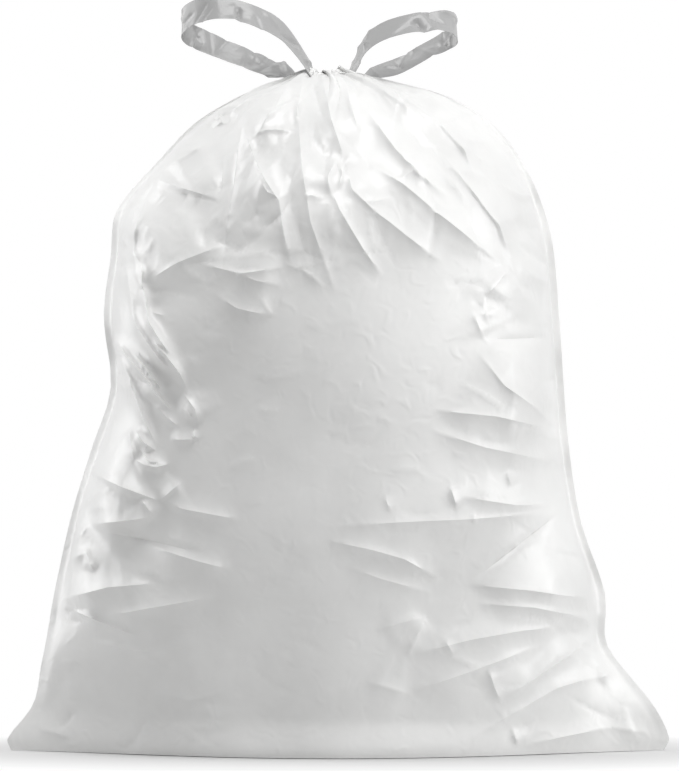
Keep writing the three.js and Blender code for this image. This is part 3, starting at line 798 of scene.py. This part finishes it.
def through(points, steps):
    """A smooth curve through points, with that many steps between two of them."""
    points = np.array(points, float)
    ends = np.concatenate([[2 * points[0] - points[1]], points, [2 * points[-1] - points[-2]]])
    share = np.linspace(0, 1, steps, endpoint=False)[:, None]
    curve = []
    for before, here, there, after in zip(ends, ends[1:], ends[2:], ends[3:]):
        slope = (there - before) / 2
        end_slope = (after - here) / 2
        bend = 3 * (there - here) - 2 * slope - end_slope
        twist = 2 * (here - there) + slope + end_slope
        curve.append(here + slope * share + bend * share**2 + twist * share**3)
    return np.concatenate(curve + [points[-1:]])


def loop_point(loop, out, back, up):
    """A point of a loop's route."""
    return loop["notch"] + out * loop["reach"], back * loop["opening"], neck_height + up * loop["rise"]


def tape_grid(loop):
    """The creased middle surface of a tape along its loop, the way it faces, and its length."""
    tuck = -TAPE_TUCK / loop["rise"]
    route = [(*NEAR_END, tuck), *loop["route"], (*FAR_END, tuck)]
    path = through([loop_point(loop, *shares) for shares in route], TAPE_STEPS)
    lean = np.radians(through(np.array(loop["lean"], float)[:, None], TAPE_STEPS))
    along = np.gradient(path, axis=0)
    along /= np.linalg.norm(along, axis=1, keepdims=True)
    upright = np.concatenate([np.zeros_like(lean), np.sin(lean), np.cos(lean)], axis=1)
    across = upright - along * np.sum(upright * along, axis=1, keepdims=True)
    across /= np.linalg.norm(across, axis=1, keepdims=True)
    aside = np.linspace(-0.5, 0.5, TAPE_LINES + 1) * TAPE_WIDTH
    grid = path[:, None] + across[:, None] * aside[None, :, None]
    out = np.cross(along, across)[:, None]
    distance = travelled(path)
    length = distance[-1]
    places = np.stack(np.broadcast_arrays(distance[:, None], aside), axis=-1) / MM
    lift = np.zeros(places.shape[:2])
    for _ in range(TAPE_CREASES):
        middle = random.uniform((CREASE_FREE, -CREASE_ASIDE), (length / MM - CREASE_FREE, CREASE_ASIDE))
        slant = random.uniform(-CREASE_SLANT, CREASE_SLANT)
        reach = np.array([math.sin(slant), math.cos(slant)]) * random.uniform(*CREASE_REACH)
        tall = random.uniform(*CREASE_HEIGHT) * random.choice((-1, 1))
        add_fold(lift, places, [middle - reach, middle + reach], tall, *random.uniform(*CREASE_WIDTH, 2))
    return grid + out * (lift * MM)[..., None], out, float(length)


def add_tape(name, node, loop):
    """One draw tape as a closed thin strip."""
    grid, out, length = tape_grid(loop)
    front = grid + out * TAPE_THICKNESS / 2
    back = grid - out * TAPE_THICKNESS / 2
    section = np.concatenate([front, back[:, ::-1]], axis=1)
    rows, columns = section.shape[:2]
    numbers = np.arange(rows * columns).reshape(rows, columns)
    beside = np.roll(numbers, -1, axis=1)
    faces = np.stack([numbers[:-1], beside[:-1], beside[1:], numbers[1:]], axis=-1).reshape(-1, 4).tolist()
    for end in (numbers[0][::-1].tolist(), numbers[-1].tolist()):
        for near in range(TAPE_LINES):
            far = columns - 1 - near
            faces.append([end[near], end[near + 1], end[far - 1], end[far]])
    tape = add_film(name, section.reshape(-1, 3).tolist(), faces, tape_material)
    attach(tape, "root")
    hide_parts(node)


add_tape("left_tape", "left_draw_tape", LEFT_LOOP)
add_tape("right_tape", "right_draw_tape", RIGHT_LOOP)


# Floor: a wide sweep of matt white paper that the bag stands on. Round the foot it shows its own shade with
# the bag's soft shadow, on a grey that is painted shade, an oval darker than the rest of the floor; further
# out it shows as plain white.
FLOOR_SIZE = 12
FLOOR_GREY = "#D6D6D6"  # what the floor throws back at the bag, and the painted shade it shows round the foot
WHITE = "#FFFFFF"
PAINTED_SHADE_OVAL = (0.2, 0.125, 1)  # metres from the middle to the edge of an oval of painted shade round the foot
PAINTED_SHADE_ENDS = (0.95, 2.3)  # sizes of that oval between which the painted shade fades and the floor turns white


def seen_directly(node_tree):
    """1 for rays from the eye, straight or by way of a shiny or clear surface, and 0 for the others."""
    light_path = add_node(node_tree, "ShaderNodeLightPath").outputs
    seen = light_path["Is Camera Ray"]
    for ray in ("Is Glossy Ray", "Is Transmission Ray"):
        either = add_node(node_tree, "ShaderNodeMath", {0: seen, 1: light_path[ray]}, operation="MAXIMUM")
        seen = either.outputs[0]
    return seen


floor_material, floor_nodes = new_material("matt_white_paper")
floor_place = add_node(floor_nodes, "ShaderNodeTexCoord").outputs["Object"]
# Painted shade: seen straight, the floor is grey inside the oval round the foot and turns to plain white
# outside it.
ovals_out = add_node(
    floor_nodes,
    "ShaderNodeVectorMath",
    {0: floor_place, 1: [1 / half for half in PAINTED_SHADE_OVAL]},
    operation="MULTIPLY",
)
oval_size = add_node(
    floor_nodes, "ShaderNodeVectorMath", {0: ovals_out.outputs["Vector"]}, operation="LENGTH"
)
whiteness = add_node(
    floor_nodes,
    "ShaderNodeMapRange",
    {
        "Value": oval_size.outputs["Value"],
        "From Min": PAINTED_SHADE_ENDS[0],
        "From Max": PAINTED_SHADE_ENDS[1],
        "To Min": 0,
        "To Max": 1,
    },
)
white_share = add_node(
    floor_nodes,
    "ShaderNodeMath",
    {0: seen_directly(floor_nodes), 1: whiteness.outputs["Result"]},
    operation="MULTIPLY",
)
matt = add_node(floor_nodes, "ShaderNodeBsdfDiffuse", {"Color": linear(FLOOR_GREY)})
plain_white = add_node(floor_nodes, "ShaderNodeEmission", {"Color": linear(WHITE), "Strength": 1})
floor_shader = add_node(
    floor_nodes,
    "ShaderNodeMixShader",
    {0: white_share.outputs[0], 1: matt.outputs["BSDF"], 2: plain_white.outputs["Emission"]},
)
add_node(floor_nodes, "ShaderNodeOutputMaterial", {"Surface": floor_shader.outputs["Shader"]})

floor_edge = FLOOR_SIZE / 2
floor_corners = [
    (-floor_edge, -floor_edge, 0),
    (floor_edge, -floor_edge, 0),
    (floor_edge, floor_edge, 0),
    (-floor_edge, floor_edge, 0),
]
floor_mesh = bpy.data.meshes.new("floor")
floor_mesh.from_pydata(floor_corners, [], [[0, 1, 2, 3]])
floor_mesh.materials.append(floor_material)
floor = bpy.data.objects.new("floor", floor_mesh)
bpy.context.scene.collection.objects.link(floor)


# Studio light: a soft box overhead and a little in front, one low on the right, a larger one on the
# left from behind and a weak one from the front right. They stand in a pale room that gives a little
# light from all sides and shows as white behind the bag.
LIGHTS = [  # place and size in metres, power in watts
    ("key", (0.1, -0.85, 2.45), (1.6, 1.6), 35),
    ("right_side", (2.3, -0.3, 0.4), (1.6, 2.0), 30),
    ("left_side", (-2.3, 0.95, 0.9), (2.2, 2.2), 33),
    ("front", (1.6, -2.2, 0.6), (2.0, 1.2), 9),
]
LIGHT_AIM = Vector((0, 0, 0.3))
ROOM_STRENGTH = 0.24
for name, place, size, watts in LIGHTS:
    light_data = bpy.data.lights.new(name, "AREA")
    light_data.shape = "RECTANGLE"
    light_data.size, light_data.size_y = size
    light_data.energy = watts
    light = bpy.data.objects.new(name, light_data)
    bpy.context.scene.collection.objects.link(light)
    light.location = place
    light.rotation_mode = "QUATERNION"
    light.rotation_quaternion = (LIGHT_AIM - light.location).to_track_quat("-Z", "Y")

room = bpy.data.worlds.new("room")
bpy.context.scene.world = room
room.use_nodes = True
room_nodes = room.node_tree
room_nodes.nodes.clear()
room_light = add_node(
    room_nodes, "ShaderNodeBackground", {"Color": linear(WHITE), "Strength": ROOM_STRENGTH}
)
room_white = add_node(room_nodes, "ShaderNodeBackground", {"Color": linear(WHITE), "Strength": 1})
room_shader = add_node(
    room_nodes,
    "ShaderNodeMixShader",
    {
        0: seen_directly(room_nodes),
        1: room_light.outputs["Background"],
        2: room_white.outputs["Background"],
    },
)
add_node(room_nodes, "ShaderNodeOutputWorld", {"Surface": room_shader.outputs["Shader"]})
bpy.context.scene.view_settings.view_transform = "Standard"

bpy.context.view_layer.update()
